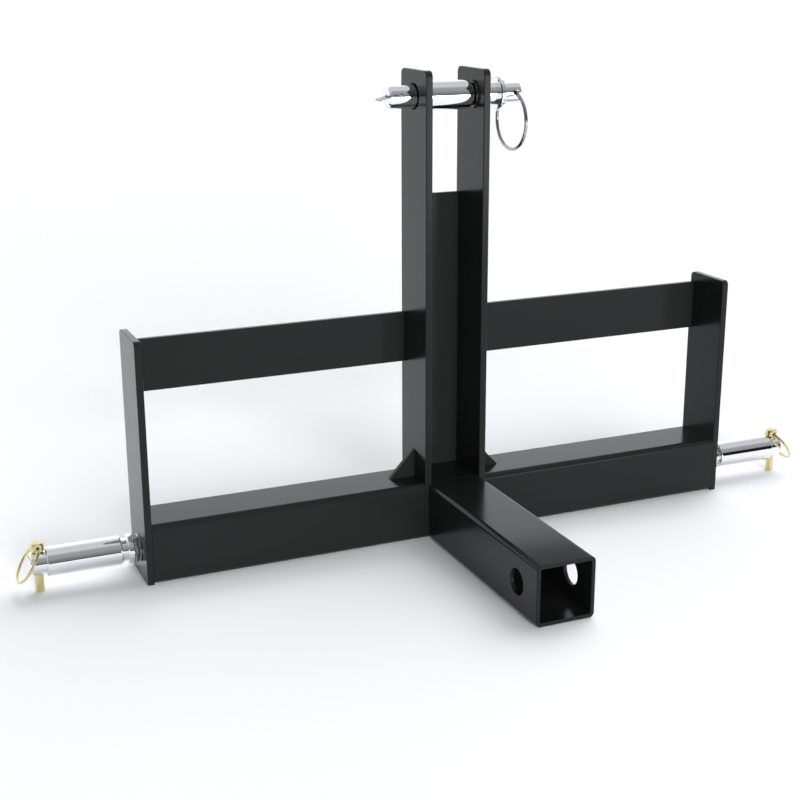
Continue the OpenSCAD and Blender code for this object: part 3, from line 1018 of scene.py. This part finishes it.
class HITCH_OT_sleeves(bpy.types.Operator):
    """Models the three bushing sleeves with round ends"""

    bl_idname = "hitch.sleeves"
    bl_label = "Sleeves"

    def execute(self, context):
        pins = context.scene.hitch_pins
        bore = pins.pin / 2 + pins.clearance
        for node in ("sleeve_left", "sleeve_right", "top_sleeve"):
            low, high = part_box(node)
            centre = (low + high) / 2
            radius, long = (high.z - low.z) / 2, high.x - low.x
            sleeve = add_rod(
                f"{node}_polished", centre, ALONG_X, radius, long, vertices=128, ends="NOTHING",
            )
            apply_modifier(sleeve, "SOLIDIFY", thickness=radius - bore, offset=-1, use_even_offset=True)
            wall_middle = (radius + bore) / 2
            bevel_edges(
                sleeve, pins.sleeve_round,
                lambda edge: not runs_along(edge, X) and self.stands_off(edge, centre, wall_middle),
                segments=6,
            )
            smooth(sleeve, pins.steel_edge)
            settle(sleeve, node, STEEL, node)
        return {"FINISHED"}

    def stands_off(self, edge, centre, radius):
        """Whether both of an edge's ends are further from the axis than a radius."""
        return all((vertex.co - centre).yz.length > radius for vertex in edge.verts)


class HITCH_OT_linchpins(bpy.types.Operator):
    """Turns the linchpins with their domed, flat-sided heads"""

    bl_idname = "hitch.linchpins"
    bl_label = "Linchpins"

    def execute(self, context):
        pins = context.scene.hitch_pins
        for side, _ in SIDES:
            node = f"linchpin_{side}"
            low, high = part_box(node)
            foot = high.z - pins.head_high
            centre = (middle(node).x, 0, 0)
            head, shank = pins.head / 2, pins.shank / 2
            tip, dome, bevel = pins.edge_chamfer, pins.dome, pins.head_bevel
            stations = [
                (low.z, shank - tip), (low.z + tip, shank), (foot, shank), (foot, head - bevel),
                (foot + bevel, head),
            ]
            for step in range(DOME_STEPS):
                turn = math.radians(90 / DOME_STEPS * step)
                place = high.z - dome + dome * math.sin(turn)
                stations.append((place, head - dome + dome * math.cos(turn)))
            stations.append((high.z, head - dome))
            piece = turned(f"linchpin_plated_{side}", centre, Z, stations, vertices=64)
            flats = Vector((head + MM, pins.head_flats / 2, 0))
            lowest, highest = Vector((centre[0], 0, low.z - MM)), Vector((centre[0], 0, high.z + MM))
            combine(piece, add_block("flats", lowest - flats, highest + flats), "INTERSECT")
            drill(piece, (centre[0], 0, foot + pins.eye_up), ALONG_Y, pins.eye, 2 * pins.head)
            smooth(piece, pins.steel_edge)
            settle(piece, node, GOLD, node)
        return {"FINISHED"}


class HITCH_OT_rings(bpy.types.Operator):
    """Bends the linchpins' snap rings and the top pin's pull ring from wire"""

    bl_idname = "hitch.rings"
    bl_label = "Rings"

    def execute(self, context):
        pins = context.scene.hitch_pins
        leans = {"left": pins.snap_lean_left, "right": pins.snap_lean_right}
        for side, sign in SIDES:
            pin_low, pin_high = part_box(f"linchpin_{side}")
            eye = pin_high.z - pins.head_high + pins.eye_up
            place = ((pin_low.x + pin_high.x) / 2, 0, eye)
            turn = (0, -sign * leans[side], 0)
            ring = hung_ring(
                f"snap_ring_bent_{side}", pins.snap_ring, pins.snap_wire, pins.head_flats, place, turn,
            )
            settle(ring, f"snap_ring_{side}", GOLD, f"snap_ring_{side}")
        hole = (outer_face("top_pin", RIGHT) - pins.ring_in, 0, middle("top_pin").z)
        turn = (0, 0, pins.ring_yaw)
        ring = hung_ring("pull_ring_bent", pins.pull_ring, pins.ring_wire, pins.tail, hole, turn)
        settle(ring, "pull_ring", WIRE, "pull_ring")
        return {"FINISHED"}


class HITCH_OT_top_pin(bpy.types.Operator):
    """Turns the top pin and its stop collar, and drills the pin for the clip and the ring"""

    bl_idname = "hitch.top_pin"
    bl_label = "Top pin"

    def execute(self, context):
        pins = context.scene.hitch_pins
        low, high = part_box("top_pin")
        stop_low, stop_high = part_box("stop_collar")
        centre = (0, 0, (low.z + high.z) / 2)
        pin, tail, chamfer = pins.pin / 2, pins.tail / 2, pins.chamfer
        stations = (
            (low.x, pin - chamfer), (low.x + chamfer, pin), (stop_low.x, pin), (stop_low.x, tail),
            (high.x - chamfer, tail), (high.x, tail - chamfer),
        )
        piece = turned("top_pin_turned", centre, X, stations)
        clip = (low.x + pins.clip_in, 0, centre[2])
        slope = (math.pi / 2 - pins.clip_tilt, 0, 0)
        drill(piece, clip, slope, pins.clip_wire + CLIP_PLAY, 2 * pins.pin)
        drill(piece, (high.x - pins.ring_in, 0, centre[2]), ALONG_Y, pins.ring_hole, 2 * pins.pin)
        smooth(piece, pins.steel_edge)
        settle(piece, "top_pin", STEEL, "top_pin")
        disc, hub = (stop_high.z - stop_low.z) / 2, pins.hub / 2
        face = stop_low.x + pins.disc_thick
        edge = pins.edge_chamfer
        stations = (
            (stop_low.x, disc - edge), (stop_low.x + edge, disc), (face, disc), (face, hub),
            (stop_high.x - edge, hub), (stop_high.x, hub - edge),
        )
        collar = turned("stop_collar_turned", centre, X, stations)
        drill(collar, (face, 0, centre[2]), ALONG_X, pins.tail, THROUGH)
        smooth(collar, pins.steel_edge)
        settle(collar, "top_pin", STEEL, "stop_collar")
        return {"FINISHED"}


class HITCH_OT_clip(bpy.types.Operator):
    """Bends the hairpin clip from spring wire"""

    bl_idname = "hitch.clip"
    bl_label = "Hairpin clip"

    def execute(self, context):
        pins = context.scene.hitch_pins
        reach = pins.pin / 2
        front, back = -reach - pins.clip_front, reach + pins.clip_back
        splay_y, splay_radius = -reach / 3, 4 * pins.clip_wire
        clip = start_wire("hairpin_clip_bent", pins.clip_wire, (0, front, 0))
        run_wire((0, back - front, 0))
        bend_wire((-pins.clip_bend, back, 0), (0, 0, -1), math.pi, BEND_STEPS)
        run_wire((0, splay_y - back, 0))
        splay_centre = (-2 * pins.clip_bend - splay_radius, splay_y, 0)
        bend_wire(splay_centre, (0, 0, 1), pins.clip_splay, SPLAY_STEPS)
        close_wire(clip, CLIP_ROUND)
        low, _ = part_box("top_pin")
        put(clip, (low.x + pins.clip_in, 0, middle("top_pin").z), (-pins.clip_tilt, 0, 0))
        settle(clip, "hairpin_clip", WIRE, "hairpin_clip")
        return {"FINISHED"}


STEPS = (
    HITCH_OT_studio, HITCH_OT_finishes, HITCH_OT_tubes, HITCH_OT_plates, HITCH_OT_lower_pins,
    HITCH_OT_nuts, HITCH_OT_sleeves, HITCH_OT_linchpins, HITCH_OT_rings, HITCH_OT_top_pin,
    HITCH_OT_clip,
)


class HITCH_PT_build(bpy.types.Panel):
    """Lists the steps that build the hitch"""

    bl_idname = "HITCH_PT_build"
    bl_label = "Receiver hitch"
    bl_space_type = "VIEW_3D"
    bl_region_type = "UI"
    bl_category = "Receiver hitch"

    def draw(self, context):
        for step in STEPS:
            self.layout.operator(step.bl_idname)


GROUPS = {
    "hitch_sizes": FrameSizes, "hitch_pins": PinSizes,
    "hitch_colours": FinishColours, "hitch_studio": StudioSizes,
}
CLASSES = (*GROUPS.values(), *STEPS, HITCH_PT_build)


def register():
    for made in CLASSES:
        bpy.utils.register_class(made)
    for name, group in GROUPS.items():
        setattr(bpy.types.Scene, name, PointerProperty(type=group))


def unregister():
    for name in GROUPS:
        delattr(bpy.types.Scene, name)
    for made in reversed(CLASSES):
        bpy.utils.unregister_class(made)


def main():
    """Builds the scene."""
    register()
    for step in STEPS:
        getattr(bpy.ops.hitch, step.bl_idname.split(".")[1])()


if __name__ == "__main__":
    main()
